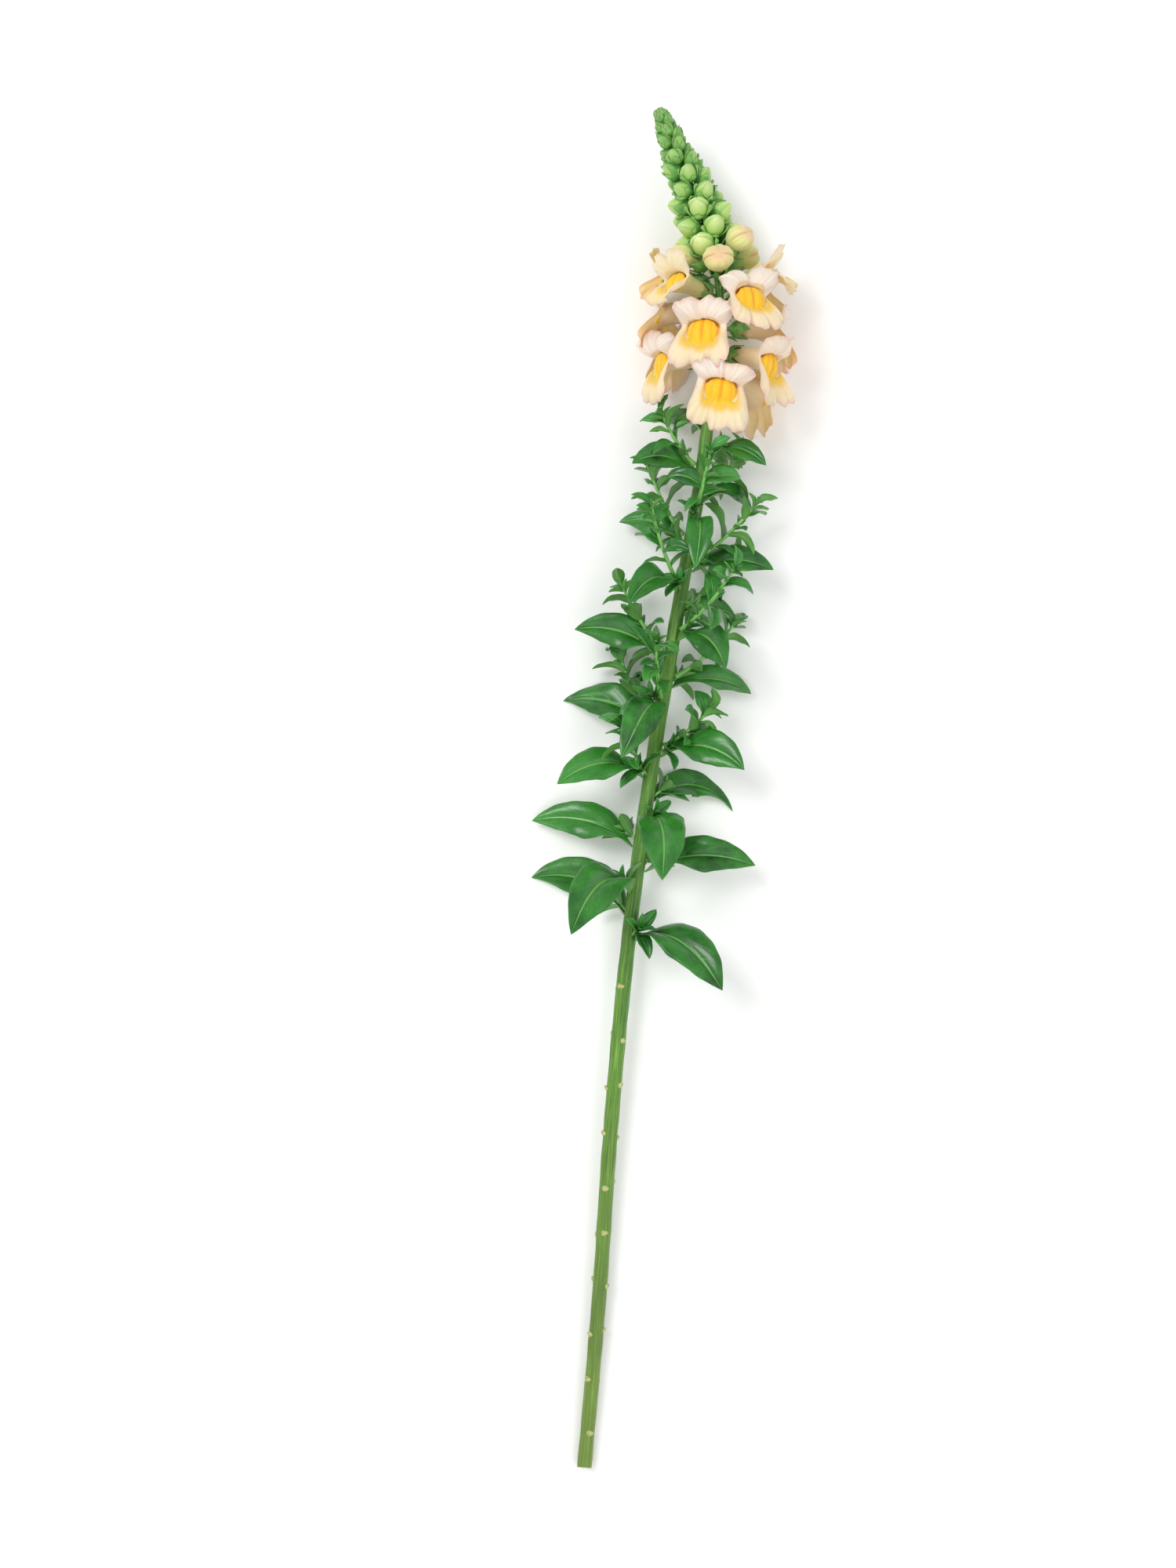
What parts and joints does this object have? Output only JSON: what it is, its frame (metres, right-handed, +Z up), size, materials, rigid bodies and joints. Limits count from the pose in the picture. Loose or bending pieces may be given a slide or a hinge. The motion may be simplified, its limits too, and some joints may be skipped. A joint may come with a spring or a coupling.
{
  "type": "snapdragon stem",
  "caption": "Single cut snapdragon stem lying on its side: bare lower stalk, leafy middle with side shoots, and a spike of open, opening and budded flowers.",
  "frame": {"origin": "the middle of the part's box, on the surface that the stem lies on", "axes": "+Z up from the surface, +Y along the stem from its cut end towards the tip of the flower spike"},
  "size_m": [0.1704, 0.8774, 0.0846],
  "materials": {
    "stem_green": "satin stalk, faintly ribbed, with paler leaf scars",
    "spike_green": "soft satin green, darker sepals on pale green buds",
    "leaf_green": "semi-gloss deep green with a paler midrib",
    "shoot_green": "semi-gloss fresh green",
    "petals": "soft peach petals with a golden palate and rosy edges",
    "opening_petals": "pale yellow-peach petals",
    "pale_bud": "pale yellow-green bud, flushed peach"
  },
  "bodies": {
    "root": {"flower_01": "petals", "flower_02": "petals", "flower_03": "petals", "flower_04": "petals", "flower_05": "petals", "flower_06": "petals", "flower_07": "petals", "flower_08": "petals", "flower_09": "petals", "leaf_01": "leaf_green", "leaf_02": "leaf_green", "leaf_03": "leaf_green", "leaf_04": "leaf_green", "leaf_05": "leaf_green", "leaf_06": "leaf_green", "leaf_07": "leaf_green", "leaf_08": "leaf_green", "leaf_09": "leaf_green", "leaf_10": "leaf_green", "leaf_11": "leaf_green", "leaf_12": "leaf_green", "leaf_13": "leaf_green", "leaf_14": "leaf_green", "leaf_15": "leaf_green", "leaf_16": "leaf_green", "leaf_17": "leaf_green", "leaf_18": "leaf_green", "leaf_19": "leaf_green", "leaf_20": "leaf_green", "leaf_21": "leaf_green", "leaf_22": "leaf_green", "leaf_23": "leaf_green", "opening_flower_10": "opening_petals", "opening_flower_11": "opening_petals", "opening_flower_12": "opening_petals", "opening_flower_13": "opening_petals", "pale_bud_14": "pale_bud", "pale_bud_15": "pale_bud", "pale_bud_16": "pale_bud", "pale_bud_17": "pale_bud", "pale_bud_18": "pale_bud", "side_shoot_01": "shoot_green", "side_shoot_02": "shoot_green", "side_shoot_03": "shoot_green", "side_shoot_04": "shoot_green", "side_shoot_05": "shoot_green", "side_shoot_06": "shoot_green", "side_shoot_07": "shoot_green", "side_shoot_08": "shoot_green", "side_shoot_09": "shoot_green", "side_shoot_10": "shoot_green", "side_shoot_11": "shoot_green", "side_shoot_12": "shoot_green", "side_shoot_13": "shoot_green", "side_shoot_14": "shoot_green", "spike": "spike_green", "stem": "stem_green"}
  },
  "joints": []
}
